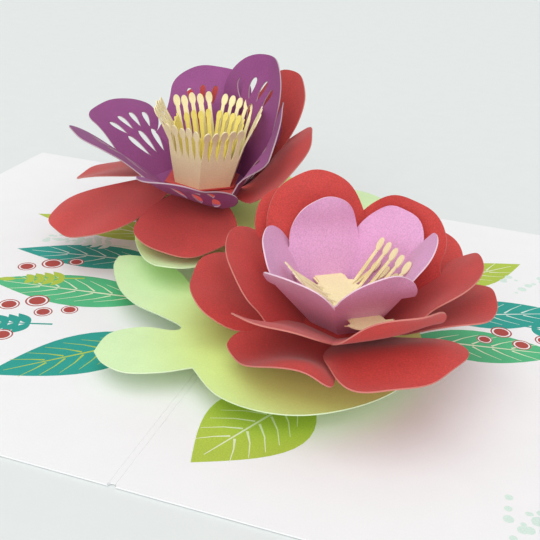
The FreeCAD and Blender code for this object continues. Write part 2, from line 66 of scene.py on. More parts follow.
# The two flowers: where each stands, the turn of its first petal, and the heights of the folded
# strips that carry its leaf sheet and the flower
FRONT = {"place": (31.0, -23.0), "turn": -113.0, "riser": 6.5, "strut": 5.0}
REAR = {"place": (-31.0, 33.0), "turn": -75.0, "riser": 14.0, "strut": 7.0}


def sin(angle):
    """The sine of an angle in degrees."""
    return math.sin(math.radians(angle))


def cos(angle):
    """The cosine of an angle in degrees."""
    return math.cos(math.radians(angle))


def heading_vector(angle):
    """The level direction at an angle from +X."""
    return Vector((cos(angle), sin(angle), 0))


def smooth(start, end, value):
    """0 before the start, 1 after the end and a smooth ramp between them."""
    part = min(1.0, max(0.0, (value - start) / (end - start)))
    return part * part * (3 - 2 * part)


# Materials

def add_node(tree, kind, **settings):
    """A node with its settings and, where a name is that of a socket, the socket's value."""
    node = tree.nodes.new(kind)
    for name, value in settings.items():
        if hasattr(node, name):
            setattr(node, name, value)
        else:
            node.inputs[name.replace("_", " ")].default_value = value
    return node


def tint(colour, factor):
    """A colour made lighter or darker, as an opaque one."""
    return tuple(min(1.0, channel * factor) for channel in colour) + (1.0,)


# The paper's textures: waves per metre of its flecks, fibres and clouds, the height of its grain
# in metres, and the range of its roughness
FLECK_SCALE, CLOUD_SCALE = 2600.0, 110.0
FIBRE_SCALE = (900.0, 2600.0, 1500.0)
GRAIN_HEIGHT = 0.00008
SMOOTHEST, ROUGHEST = 0.54, 0.72


def paper(name, colour, fleck=0.10, mottle=0.06, grain=0.25, sheen=0.0):
    """Uncoated coloured paper: fine fibres, faint pearly flecks and a soft uneven tone."""
    material = bpy.data.materials.new(name)
    material.use_nodes = True
    tree = material.node_tree
    link = tree.links.new
    shader = tree.nodes["Principled BSDF"]
    place = add_node(tree, "ShaderNodeTexCoord")
    fine = add_node(tree, "ShaderNodeTexNoise", Scale=FLECK_SCALE, Detail=3.0, Roughness=0.6)
    fibre_map = add_node(tree, "ShaderNodeMapping", Scale=FIBRE_SCALE)
    fibre = add_node(tree, "ShaderNodeTexNoise", Scale=1.0, Detail=4.0, Roughness=0.7)
    cloud = add_node(tree, "ShaderNodeTexNoise", Scale=CLOUD_SCALE, Detail=3.0, Roughness=0.5)
    link(place.outputs["Object"], fine.inputs["Vector"])
    link(place.outputs["Object"], fibre_map.inputs["Vector"])
    link(fibre_map.outputs["Vector"], fibre.inputs["Vector"])
    link(place.outputs["Object"], cloud.inputs["Vector"])
    flecks = add_node(tree, "ShaderNodeValToRGB")
    flecks.color_ramp.elements[0].position, flecks.color_ramp.elements[1].position = 0.34, 0.68
    flecks.color_ramp.elements[0].color = tint(colour, 1 - fleck)
    flecks.color_ramp.elements[1].color = tint(colour, 1 + fleck)
    clouds = add_node(tree, "ShaderNodeValToRGB")
    clouds.color_ramp.elements[0].position, clouds.color_ramp.elements[1].position = 0.3, 0.7
    clouds.color_ramp.elements[0].color = (1 - mottle,) * 3 + (1.0,)
    clouds.color_ramp.elements[1].color = (1.0, 1.0, 1.0, 1.0)
    mix = add_node(tree, "ShaderNodeMix", data_type="RGBA", blend_type="MULTIPLY")
    mix.inputs["Factor"].default_value = 1.0
    link(fine.outputs["Fac"], flecks.inputs["Fac"])
    link(cloud.outputs["Fac"], clouds.inputs["Fac"])
    link(flecks.outputs["Color"], mix.inputs[6])
    link(clouds.outputs["Color"], mix.inputs[7])
    link(mix.outputs[2], shader.inputs["Base Color"])
    bump = add_node(tree, "ShaderNodeBump", Strength=grain, Distance=GRAIN_HEIGHT)
    link(fibre.outputs["Fac"], bump.inputs["Height"])
    link(bump.outputs["Normal"], shader.inputs["Normal"])
    gloss = add_node(tree, "ShaderNodeMapRange", From_Min=0.3, From_Max=0.7, To_Min=SMOOTHEST,
                     To_Max=ROUGHEST)
    link(fine.outputs["Fac"], gloss.inputs["Value"])
    link(gloss.outputs["Result"], shader.inputs["Roughness"])
    shader.inputs["Specular IOR Level"].default_value = 0.35
    if sheen:
        shader.inputs["Sheen Weight"].default_value = sheen
        shader.inputs["Sheen Roughness"].default_value = 0.4
    return material


# Base colours in linear light
RED = (0.62, 0.064, 0.056)
PINK = (0.75, 0.39, 0.64)
PURPLE = (0.30, 0.07, 0.24)
CREAM = (0.96, 0.87, 0.50)
YELLOW = (0.88, 0.76, 0.20)
LEAF_TIP = (0.71, 0.95, 0.53)
LEAF_HEART = (0.74, 1.0, 0.29)
TEAL = (0.02, 0.36, 0.30)
GREEN = (0.09, 0.52, 0.24)
LIME = (0.46, 0.60, 0.07)
MINT = (0.70, 0.86, 0.79)
BERRY = (0.45, 0.07, 0.06)
CARD = (0.90, 0.91, 0.925)

paper_red = paper("red_paper", RED, fleck=0.17, mottle=0.10, sheen=0.2)
paper_pink = paper("pink_paper", PINK, fleck=0.13, sheen=0.2)
paper_purple = paper("purple_paper", PURPLE, fleck=0.15, mottle=0.10, sheen=0.04)
paper_cream = paper("cream_paper", CREAM, fleck=0.06)
paper_yellow = paper("yellow_paper", YELLOW, fleck=0.06)
paper_teal = paper("teal_paper", TEAL, fleck=0.08)
edge_red = paper("red_paper_edge", (0.60, 0.20, 0.17), fleck=0.05)
edge_pink = paper("pink_paper_edge", (0.82, 0.60, 0.72), fleck=0.05)
edge_purple = paper("purple_paper_edge", (0.50, 0.36, 0.42), fleck=0.05)
edge_cream = paper("cream_paper_edge", (0.94, 0.85, 0.55), fleck=0.04)
edge_leaf = paper("leaf_paper_edge", (0.74, 0.88, 0.60), fleck=0.05)
paper_card = paper("card_paper", CARD, fleck=0.015, mottle=0.015)
ink_teal = paper("teal_ink", TEAL, fleck=0.10, grain=0.15)
ink_green = paper("green_ink", GREEN, fleck=0.10, grain=0.15)
ink_lime = paper("lime_ink", LIME, fleck=0.10, grain=0.15)
ink_mint = paper("mint_ink", MINT, fleck=0.06, grain=0.15)
ink_berry = paper("berry_ink", BERRY, fleck=0.10, grain=0.15)
ink_cream = paper("cream_ink", (0.80, 0.86, 0.62), fleck=0.05, grain=0.15)


# Where leaf paper turns from lime to light green, in metres from a point over its flower's foot
LEAF_HEART_END, LEAF_TIP_START, LEAF_CENTRE_HEIGHT = 0.030, 0.058, 0.010


def leaf_paper(name, place):
    """Leaf paper that turns from lime under the flower to light green at its tips."""
    material = paper(name, (1.0, 1.0, 1.0), fleck=0.06)
    tree = material.node_tree
    link = tree.links.new
    where = add_node(tree, "ShaderNodeTexCoord")
    offset = add_node(tree, "ShaderNodeVectorMath", operation="DISTANCE")
    offset.inputs[1].default_value = (place[0] * MM, place[1] * MM, LEAF_CENTRE_HEIGHT)
    ramp = add_node(tree, "ShaderNodeMapRange", interpolation_type="SMOOTHSTEP",
                    From_Min=LEAF_HEART_END, From_Max=LEAF_TIP_START)
    colours = add_node(tree, "ShaderNodeValToRGB")
    colours.color_ramp.elements[0].color = (*LEAF_HEART, 1.0)
    colours.color_ramp.elements[1].color = (*LEAF_TIP, 1.0)
    blend = add_node(tree, "ShaderNodeMix", data_type="RGBA", blend_type="MULTIPLY")
    blend.inputs["Factor"].default_value = 1.0
    shader = tree.nodes["Principled BSDF"]
    grain = shader.inputs["Base Color"].links[0].from_socket
    link(where.outputs["Object"], offset.inputs[0])
    link(offset.outputs["Value"], ramp.inputs["Value"])
    link(ramp.outputs["Result"], colours.inputs["Fac"])
    link(colours.outputs["Color"], blend.inputs[6])
    link(grain, blend.inputs[7])
    link(blend.outputs[2], shader.inputs["Base Color"])
    return material


# Flat outlines filled with triangles

# A bend of more degrees than this shows as a fold
SHARPEST_BEND = 25.0

# Shares of the grid: how far its rows are apart, and how far it keeps from an outline
ROW_STEP, EDGE_CLEARANCE = 0.87, 0.5

# How close points may lie in the triangles of a sheet and of the card
SHEET_TOLERANCE, CARD_TOLERANCE = 1e-5, 1e-4


def filled(outline, holes=(), grid=GRID):
    """The points and triangles of an outline with holes, with a grid of points for bending."""
    points = [Vector(p) for p in outline]
    faces = [list(range(len(points)))]
    for hole in holes:
        faces.append(list(range(len(points), len(points) + len(hole))))
        points += [Vector(p) for p in hole]
    xs, ys = [p[0] for p in outline], [p[1] for p in outline]
    near = grid * EDGE_CLEARANCE
    y = min(ys) + grid
    row = 0
    while y < max(ys):
        x = min(xs) + (grid / 2 if row % 2 else grid)
        while x < max(xs):
            spot = Vector((x, y))
            if all((spot - edge).length > near for edge in points):
                points.append(spot)
            x += grid
        y += grid * ROW_STEP
        row += 1
    spots, _, triangles, _, _, sources = delaunay_2d_cdt(points, [], faces, 0, SHEET_TOLERANCE)
    kept = [t for t, source in zip(triangles, sources) if source == [0]]
    return spots, kept


def mesh_object(name, points, faces, materials, face_materials=None, weld=0.02):
    """A mesh object from points in millimetres."""
    mesh = bpy.data.meshes.new(name)
    mesh.from_pydata([Vector(p) * MM for p in points], [], faces)
    for material in materials:
        mesh.materials.append(material)
    if face_materials:
        mesh.polygons.foreach_set("material_index", face_materials)
    work = bmesh.new()
    work.from_mesh(mesh)
    bmesh.ops.remove_doubles(work, verts=work.verts, dist=weld * MM)
    loose = [v for v in work.verts if not v.link_faces]
    bmesh.ops.delete(work, geom=loose, context="VERTS")
    work.to_mesh(mesh)
    work.free()
    obj = bpy.data.objects.new(name, mesh)
    bpy.context.collection.objects.link(obj)
    return obj


def thicken(obj):
    """Give a surface the paper's thickness on its upper side, with sharp folds and cut edges."""
    solid = obj.modifiers.new("paper", "SOLIDIFY")
    solid.thickness = PAPER * MM
    solid.offset = 1.0
    solid.use_even_offset = True
    solid.use_quality_normals = True
    solid.material_offset_rim = 1
    crisp = obj.modifiers.new("crisp_edges", "EDGE_SPLIT")
    crisp.split_angle = math.radians(SHARPEST_BEND)
    obj.data.shade_smooth()
    return obj


def piece(obj, slot, *nodes):
    """A finished piece: it rides on the body and stands for its nodes. Its slot is not used."""
    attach(obj, "root")
    if nodes:
        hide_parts(*nodes)
    return obj


# Folded layers

class Side:
    """One side of a six-sided floor: the middle of its fold and the flap that rises from it."""

    def __init__(self, radius, heading, slope):
        self.out = heading_vector(heading)
        self.middle = self.out * (radius * cos(SIDE_ANGLE / 2))
        self.across = UP.cross(self.out) * -1
        self.rise = self.out * cos(slope) + UP * sin(slope)
        self.inward = self.across.cross(self.rise)

    def flat(self, point):
        """A point of the flap in the flap's own flat coordinates."""
        offset = point - self.middle
        return Vector((offset.dot(self.across), offset.dot(self.rise)))

    def solid(self, x, y, depth=0.0):
        """The point of the flap at flat coordinates, moved toward the flower's axis by a depth."""
        return self.middle + self.across * x + self.rise * y + self.inward * depth


def six_sides(radius, turn, slopes):
    """The sides of a floor, clockwise from the first one's heading."""
    return [Side(radius, turn - SIDE_ANGLE * k, slope) for k, slope in enumerate(slopes)]


def corner_between(one, other, radius):
    """The corner of the floor between two sides."""
    return (one.out + other.out).normalized() * radius


def crease_between(one, other):
    """The direction in which the flaps of two sides meet, upward."""
    crease = one.inward.cross(other.inward).normalized()
    return crease if crease.z > 0 else crease * -1


def sampled(start, end, steps):
    """Points from the start up to but not including the end."""
    return [start.lerp(end, i / steps) for i in range(steps)]


# The ripples around a petal's tip: their size, their number and how much they take of its phase
RIPPLES = ((1.0, 4, 1), (0.6, 7, -2))


def ellipse_tip(right, left, shoulder, length, ripple, phase):
    """The rounded end of a petal between its right and left shoulders, with a slight ripple."""
    middle, half = (right + left) / 2, (right - left) / 2
    points = []
    for i in range(TIP_STEPS + 1):
        angle = 180 * i / TIP_STEPS
        wave = 1 + ripple * sin(angle) * sum(size * cos(count * angle + share * phase)
                                             for size, count, share in RIPPLES)
        points.append(Vector((middle + half * cos(angle) * (1 + (wave - 1) / 2),
                              shoulder + (length - shoulder) * sin(angle) * wave)))
    return points


def flank(foot, edge, shoulder, bulge):
    """The side of a petal from its foot out to its shoulder."""
    points = []
    for i in range(FLANK_STEPS):
        part = i / FLANK_STEPS
        x = foot.x + (edge - foot.x) * sin(90 * part ** bulge)
        points.append(Vector((x, foot.y + (shoulder - foot.y) * part)))
    return points


def petal_outline(feet, width, shoulder, length, ripple, phase, bulge):
    """A petal from its right foot over its tip to its left foot."""
    half = width / 2
    right = flank(feet[0], half, shoulder, bulge)
    left = flank(feet[1], -half, shoulder, bulge)
    return right + ellipse_tip(half, -half, shoulder, length, ripple, phase) + left[::-1]


# The angle by which the ripple and the wave of a petal differ from those of the one before
PHASE_STEP = 67

# The slight wave of a petal's free part, and the run over which its twist sets in
WAVE_HEIGHT, WAVE_ACROSS, WAVE_ALONG = 0.5, 13, 9
TWIST_RUN = 12


def bent(side, spot, base, length, look):
    """A flat point on its flap, with the petal curled along its length, twisted and waved."""
    free = smooth(base, length, spot.y)
    wave = WAVE_HEIGHT * free * sin(WAVE_ACROSS * spot.x + WAVE_ALONG * spot.y + look["phase"])
    twisted = look["twist"] * spot.x * smooth(base, base + TWIST_RUN, spot.y)
    return side.solid(spot.x, spot.y, look["curl"] * length * free * free + wave - twisted)


def pulled(point, pulls):
    """A point moved by soft pulls, each (centre, movement, reach)."""
    moved = point.copy()
    for centre, movement, reach in pulls:
        distance = (point - Vector(centre)).length / reach
        moved += Vector(movement) * math.exp(-distance * distance)
    return moved


def build_layer(name, place, height, radius, sides, flaps, materials, pulls=()):
    """A floor and its flaps as one folded sheet.

    Each flap is (outline points, holes, bend), where bend turns a flat point into a solid one.
    """
    points, faces = [], []
    base = Vector((*place, height))

    def add(spots, triangles, lift):
        first = len(points)
        points.extend(base + pulled(lift(spot), pulls) for spot in spots)
        faces.extend([first + i for i in triangle] for triangle in triangles)

    corners = [corner_between(sides[k], sides[(k + 1) % SIDES], radius) for k in range(SIDES)]
    rim = []
    for k in range(SIDES):
        rim += [p.xy for p in sampled(corners[k - 1], corners[k], FOLD_STEPS)]
    ring = [heading_vector(angle).xy * FLOOR_HOLE for angle in range(0, 360, 15)]
    spots, triangles = filled(rim[::-1], [ring])
    add(spots, triangles, lambda spot: Vector((spot.x, spot.y, 0)))
    for flap_outline, holes, bend in flaps:
        spots, triangles = filled(flap_outline, holes)
        add(spots, triangles, bend)
    return thicken(mesh_object(name, points, faces, materials))


# How far above its creases a cup's petal is at its widest, or further
LEAST_SHOULDER = 0.5


def cup_flaps(sides, radius, crease, width, shoulder, length, looks, cut_outs=None):
    """The six petals of a cup, joined along their creases and free above them."""
    flaps = []
    for k, side in enumerate(sides):
        corners, feet, steps = [], [], []
        for j in (k - 1, (k + 1) % SIDES):
            corner = corner_between(side, sides[j], radius)
            foot = corner + crease_between(side, sides[j]) * crease
            corners.append(side.flat(corner))
            feet.append(side.flat(foot))
        if feet[0].x < feet[1].x:
            corners, feet = corners[::-1], feet[::-1]
        look = looks[k]
        start = max(feet[0].y, feet[1].y)
        lobe = petal_outline(feet, width * look["wide"], max(shoulder, start + LEAST_SHOULDER),
                             length * look["long"], look["ripple"], look["phase"], CUP_BULGE)
        outline = (sampled(corners[0], feet[0], CREASE_STEPS) + lobe
                   + sampled(feet[1], corners[1], CREASE_STEPS)
                   + sampled(corners[1], corners[0], FOLD_STEPS))

        def bend(spot, side=side, start=start, look=look):
            return bent(side, spot, start, length, look)

        holes = cut_outs(length * look["long"]) if cut_outs else []
        flaps.append((outline, holes, bend))
    return flaps


# A free petal is as wide as its fold, less a relief, up to its foot, and bends from there
OPEN_FOOT, OPEN_BEND = 0.8, 2.0

# How fast a petal widens from its foot: the lower, the faster
CUP_BULGE, OPEN_BULGE = 0.8, 0.9


def open_flaps(sides, radius, width, shoulder, length, looks):
    """Six petals that part at the floor."""
    flaps = []
    for k, side in enumerate(sides):
        look = looks[k]
        half_fold = radius / 2
        foot = half_fold - FOLD_RELIEF
        feet = [Vector((foot, OPEN_FOOT)), Vector((-foot, OPEN_FOOT))]
        lobe = petal_outline(feet, width * look["wide"], shoulder,
                             length * look["long"], look["ripple"], look["phase"], OPEN_BULGE)
        right, left = Vector((half_fold, 0)), Vector((-half_fold, 0))
        fold = sampled(left, right, FOLD_STEPS)[1:]
        outline = lobe + [left] + fold + [right]

        def bend(spot, side=side, look=look):
            aside = look["swing"] * (spot.y / length) ** 2
            return bent(side, Vector((spot.x + aside, spot.y)), OPEN_BEND, length, look)

        flaps.append((outline, [], bend))
    return flaps


def floor_height(flower):
    """The height at which a flower's lowest layer lies on its strut."""
    return CARD_THICKNESS + flower["riser"] + PAPER + flower["strut"]


def make_wide(flower, name, radius, width, shoulder, length, slopes, looks, pulls=()):
    """The wide outer petals of a flower."""
    sides = six_sides(radius, flower["turn"], slopes)
    flaps = open_flaps(sides, radius, width, shoulder, length, looks)
    obj = build_layer(name + "_sheet", flower["place"], floor_height(flower), radius, sides, flaps,
                      [paper_red, edge_red], pulls)
    return piece(obj, "red_paper", name)


def make_cup(flower, name, layer, radius, crease, width, shoulder, length, slopes, looks, papers,
             slot, cut_outs=None, pulls=()):
    """A cup of petals on top of a number of layers."""
    sides = six_sides(radius, flower["turn"], slopes)
    flaps = cup_flaps(sides, radius, crease, width, shoulder, length, looks, cut_outs)
    height = floor_height(flower) + layer * PAPER
    obj = build_layer(name + "_sheet", flower["place"], height, radius, sides, flaps, papers, pulls)
    return piece(obj, slot, name)


def looks_of(longs, curls, wides, ripple=0.02, swings=(0,) * SIDES, twists=(0,) * SIDES):
    """The small differences between the six petals of a layer.

    Longs and wides are shares of the layer's length and width, curls are shares of the length by
    which the tips bend inward, swings move the tips sideways, and twists are sideways slopes.
    """
    return [{"long": a, "curl": b, "wide": c, "swing": d, "twist": e, "ripple": ripple,
             "phase": PHASE_STEP * k}
            for k, (a, b, c, d, e) in enumerate(zip(longs, curls, wides, swings, twists))]


# The rows of teardrops of a petal, from the tip down: how many, how long and how wide. Then how
# far the first row lies below the tip, the gap between rows, how far below the middle of a drop
# the row's fan has its centre, and the angle between two drops.
TEARDROP_ROWS = ((4, 7.0, 2.6), (3, 10.0, 2.8))
TEARDROP_MARGIN, TEARDROP_GAP, TEARDROP_PIVOT, TEARDROP_SWING = 7.4, 1.0, 18.0, 15.0

# The form of a drop: its half width as a share of its width, and how it narrows to its point
DROP_HALF, TAPER_MIDDLE, TAPER_SWING, TAPER_POWER = 0.62, 0.52, 0.48, 0.7


def teardrop(width, length, middle):
    """A drop with its round end toward the tip, its middle at a height on the petal's axis."""
    drop = []
    for angle in range(0, 360, 20):
        taper = (TAPER_MIDDLE + TAPER_SWING * cos(angle)) ** TAPER_POWER
        drop.append(Vector((width * DROP_HALF * sin(angle) * taper,
                            middle + cos(angle) * length / 2)))
    return drop[::-1]


def teardrops(petal_length):
    """The cut-outs of a petal: long drops with their round ends toward the tip, in two rows."""
    drops = []
    top = petal_length - TEARDROP_MARGIN
    for count, length, width in TEARDROP_ROWS:
        middle = top - length / 2
        top -= length + TEARDROP_GAP
        pivot = Vector((0, middle - TEARDROP_PIVOT))
        for i in range(count):
            spin = Matrix.Rotation(math.radians(((count - 1) / 2 - i) * TEARDROP_SWING), 2)
            drops.append([pivot + spin @ (spot - pivot)
                          for spot in teardrop(width, length, middle)])
    return drops


make_wide(
    FRONT, "front_wide_petals", radius=11.8, width=30.7, shoulder=21.9, length=31.7,
    slopes=[4.5, 3, 38, 30, 23, 14],
    looks=looks_of(longs=[.92, .93, 1.09, 1, .91, 1.06], curls=[.09, .24, .18, 0, -.03, -.06],
                   wides=[1.1, 1.06, 1.05, 1, .92, 1.06], ripple=0.03,
                   swings=(-9.0, 0, 0, 0, 0, 0)),
    pulls=[((31, -16, 9), (0.0, 1.0, 3.5), 13.0), ((13, -35, 6), (0.0, -1.0, -2.0), 9.0),
           ((18, -28, 5), (-3.0, 1.5, 1.5), 15.0), ((0, -38, 3), (1.5, 1.5, 3.0), 10.0),
           ((-22, -30, 4), (2.5, 0.5, -3.0), 11.0)])
make_wide(
    REAR, "rear_wide_petals", radius=16.6, width=31.5, shoulder=22.5, length=36.2,
    slopes=[-5.5, -18, -5.5, 34, 64, 40],
    looks=looks_of(longs=[1.02, 1, .97, 1, 1.05, .84], curls=[0, .04, -.11, .02, -.03, -.04],
                   wides=[.94, 1.04, 1, 1, .97, 1.04], ripple=0.03,
                   twists=(0, 0, 0, 0, 0, .42)))
make_cup(
    FRONT, "front_cup_petals", layer=1, radius=10.8, crease=18.5, width=29.2, shoulder=20.2,
    length=32.9, slopes=[30, 40.6, 55, 52, 40.6, 29.6],
    looks=looks_of(longs=[.99, .88, 1.08, .95, .93, 1], curls=[-.03, .01, .07, .08, .01, .13],
                   wides=[.94, 1.04, .98, .97, .97, .97]),
    papers=[paper_red, edge_red], slot="red_paper",
    pulls=[((-24, -20, 11), (5.0, -1.5, -4.0), 12.0), ((29, -14, 11), (-2.5, 0.0, 1.2), 10.0)])
make_cup(
    REAR, "rear_cup_petals", layer=1, radius=15.6, crease=14.9, width=29.8, shoulder=25.8,
    length=38.2, slopes=[31, 35.4, 38, 63, 81.2, 59],
    looks=looks_of(longs=[1.02, .89, .86, .93, 1.04, .77],
                   curls=[-.12, -.04, -.1, -.13, -.03, .02],
                   wides=[.96, 1.03, .94, .98, 1.06, .92], twists=(0, 0, 0, 0, 0, .55)),
    papers=[paper_purple, edge_purple], slot="purple_paper", cut_outs=teardrops,
    pulls=[((14, -24, 7), (5.0, -3.0, -5.0), 16.0), ((-20, -30, 12), (0.0, 0.0, 2.5), 14.0),
           ((2, 22, 27), (-3.4, -1.4, 0.0), 12.0), ((14, 14, 38), (2.4, -1.0, 0.4), 12.0),
           ((26, -38, 10), (-6.5, 1.5, -1.5), 10.0)])
make_cup(
    FRONT, "front_inner_petals", layer=2, radius=8.7, crease=16.9, width=20.9, shoulder=16.8,
    length=27.3, slopes=[50.5, 56.6, 61.4, 58.8, 64, 54.8],
    looks=looks_of(longs=[.98, .93, 1.02, 1.05, 1.04, .95], curls=[-.03, .02, .18, -.03, -.04, .05],
                   wides=[.98, 1.06, .94, 1, .99, .94]),
    papers=[paper_pink, edge_pink], slot="pink_paper")


# Stamens

# Half the width and half the length of an oval head as shares of its size, half the width of a
# finger where it narrows as a share of its stem, and its width at the root as a share of its room
HEAD_ACROSS, HEAD_ALONG, STEM_HALF, ROOT_WIDTH = 0.42, 0.72, 0.62, 0.93

# The degrees by which an uneven share of 1 would lean a finger, and the steps around its head
UNEVEN_LEAN, HEAD_STEP = 20, 20


def stamen_comb(right, left, count, length, stem, head, spread, uneven, seed, root):
    """Fingers with oval heads along a straight top between two points, from right to left.

    They fan out by a spread, and each is as long as the comb, give or take an uneven share.
    The root is the share of its length over which a finger narrows to its stem.
    """
    chance = random.Random(seed)
    points = []
    for i in range(count):
        part = (i + 0.5) / count
        foot = right.lerp(left, part)
        lean = (part - 0.5) * spread + chance.uniform(-1, 1) * UNEVEN_LEAN * uneven
        up = Vector((-sin(lean), cos(lean)))
        aside = Vector((up.y, -up.x))
        reach = length * (1 + chance.uniform(-1, 1) * uneven)
        base = aside * ((right - left).length / count / 2 * ROOT_WIDTH)
        thin, narrow = aside * (stem * STEM_HALF), up * (reach * root)
        points += [foot + base, foot + thin + narrow]
        middle = reach - head * HEAD_ALONG
        neck = math.degrees(math.asin(min(0.95, stem * 0.5 / (head * HEAD_ACROSS))))
        for angle in range(-90 + int(neck), 271 - int(neck), HEAD_STEP):
            points.append(foot + aside * (head * HEAD_ACROSS * cos(angle))
                          + up * (middle + head * HEAD_ALONG * sin(angle)))
        points += [foot - thin + narrow, foot - base]
    return points


# The two crowns: their turn and lean, their place off the flower's axis and the height under them,
# for each side the share of the fingers' length that it has and how many times their curl, and the
# fingers' stems, spread, unevenness and roots
CROWN_TURN, CROWN_LEAN, CROWN_LEAN_HEADING = -108.0, 5.0, 0.0
CROWN_OFFSET, CROWN_OFFSET_HEADING = 1.6, -38.0
CROWN_PLACE = Vector(REAR["place"]) + heading_vector(CROWN_OFFSET_HEADING).xy * CROWN_OFFSET
CROWN_FLOOR = floor_height(REAR) + 3 * PAPER
FINGER_SHARES = (0.7, 1, 1, 1, 1, 0.75)
FLARES = (0.5, 3.0, 2.6, 1.0, 0.9, 1.2)
CROWN_STEM, CROWN_SPREAD, CROWN_UNEVEN, CROWN_ROOT = 1.0, 8.0, 0.04, 0.3


def crown(name, node, height, radius, slope, band, length, count, papers, slot, head, curl):
    """A six-sided band with fingers along its top, folded from one sheet."""
    slopes = [slope - CROWN_LEAN * cos(CROWN_TURN - SIDE_ANGLE * k - CROWN_LEAN_HEADING)
              for k in range(SIDES)]
    sides = six_sides(radius, CROWN_TURN, slopes)
    flaps = []
    for k, side in enumerate(sides):
        corners, feet = [], []
        for j in (k - 1, (k + 1) % SIDES):
            corner = corner_between(side, sides[j], radius)
            corners.append(side.flat(corner))
            feet.append(side.flat(corner + crease_between(side, sides[j]) * band))
        if feet[0].x < feet[1].x:
            corners, feet = corners[::-1], feet[::-1]
        reach = (length - band) * FINGER_SHARES[k]
        comb = stamen_comb(feet[0], feet[1], count, reach, CROWN_STEM, head, CROWN_SPREAD,
                           CROWN_UNEVEN, 7 * k + 3, CROWN_ROOT)
        outline = (sampled(corners[0], feet[0], CREASE_STEPS) + [feet[0]] + comb
                   + sampled(feet[1], corners[1], CREASE_STEPS)
                   + sampled(corners[1], corners[0], FOLD_STEPS))

        def bend(spot, side=side, flare=curl * FLARES[k]):
            return bent(side, spot, band, length, {"curl": flare, "phase": 0, "twist": 0})

        flaps.append((outline, [], bend))
    obj = build_layer(name, CROWN_PLACE, height, radius, sides, flaps, papers)
    return piece(obj, slot, node)


crown("rear_outer_stamens_sheet", "rear_outer_stamens", CROWN_FLOOR, radius=10.2, slope=78.0,
      band=10.0, length=25.0, count=5, papers=[paper_cream, edge_cream], slot="cream_paper",
      head=2.7, curl=-0.05)
crown("rear_inner_stamens_sheet", "rear_inner_stamens", CROWN_FLOOR + PAPER, radius=7.0,
      slope=79.0, band=8.0, length=20.0, count=4, papers=[paper_yellow, paper_yellow],
      slot="yellow_paper", head=2.3, curl=-0.03)


def arc_rise(distance, start, end, slope):
    """How far out and up a strip reaches at a distance along it, if it bends up to a slope."""
    out = up = 0.0
    for i in range(ARC_STEPS):
        now = slope * smooth(start, end, distance * (i + 0.5) / ARC_STEPS)
        out += cos(now) * distance / ARC_STEPS
        up += sin(now) * distance / ARC_STEPS
    return out, up


# The bars across the front flower: the height over the cup's floor, the reach past its axis to the
# front and to the back, the length of the combs, how far the locking tab is wider than the bar on
# each side, where the combs start and end their bend, and the fingers' stems and heads
BAR_HEIGHT, BAR_FRONT, BAR_BACK, BAR_WING = 6.5, 15.0, 13.5, 15.0
BAR_EAR = 2.2
BEND_START, BEND_END = -1.0, 7.0
BAR_STEM, BAR_HEAD, BAR_UNEVEN, BAR_ROOT = 0.9, 2.7, 0.03, 0.1
BAR_SIDE = 5
BAR_FLOOR = floor_height(FRONT) + 2 * PAPER + BAR_HEIGHT


def stamen_bar(name, node, height, width, counts, lengths, slopes, spreads, papers, slot, tab,
               seed):
    """A level bar with a locking tab and a comb of fingers that bends up from each long edge."""
    heading = FRONT["turn"] - SIDE_ANGLE * BAR_SIDE
    axis, aside = heading_vector(heading), UP.cross(heading_vector(heading))
    origin = Vector((*FRONT["place"], height))
    half = width / 2
    tab_points = [Vector((BAR_FRONT + tab * cos(angle), (half + BAR_EAR) * sin(angle)))
                  for angle in range(-80, 81, 16)]
    right, left = Vector((BAR_WING / 2, 0)), Vector((-BAR_WING / 2, 0))
    high, low = [stamen_comb(right, left, count, length, BAR_STEM, BAR_HEAD, spread, BAR_UNEVEN,
                             seed + count, BAR_ROOT)
                 for count, length, spread in zip(counts, lengths, spreads)]
    outline = ([Vector((-BAR_BACK, -half))] + [Vector((-p.x, -half - p.y)) for p in low]
               + [Vector((BAR_FRONT, -half))] + tab_points + [Vector((BAR_FRONT, half))]
               + [Vector((p.x, half + p.y)) for p in high] + [Vector((-BAR_BACK, half))])
    spots, triangles = filled(outline)

    def lift(spot):
        past = abs(spot.y) - half
        if past <= 0:
            return origin + axis * spot.x + aside * spot.y
        sign, slope = (1, slopes[0]) if spot.y > 0 else (-1, slopes[1])
        out, up = arc_rise(past, BEND_START, BEND_END, slope)
        return origin + axis * spot.x + aside * (sign * (half + out)) + UP * up

    obj = thicken(mesh_object(name, [lift(spot) for spot in spots], triangles, papers))
    return piece(obj, slot, node)


stamen_bar("front_under_stamens_sheet", "front_under_stamens", BAR_FLOOR, width=9.0,
           counts=(4, 4), lengths=(10.5, 9.0), slopes=(47, 47), spreads=(20, 20),
           papers=[paper_cream, edge_cream], slot="yellow_paper", tab=0.4, seed=5)
stamen_bar("front_stamens_sheet", "front_stamens", BAR_FLOOR + PAPER, width=7.7,
           counts=(5, 4), lengths=(15.5, 15.0), slopes=(62, 46), spreads=(16, -14),
           papers=[paper_cream, edge_cream], slot="cream_paper", tab=3.4, seed=11)


# Leaf sheets

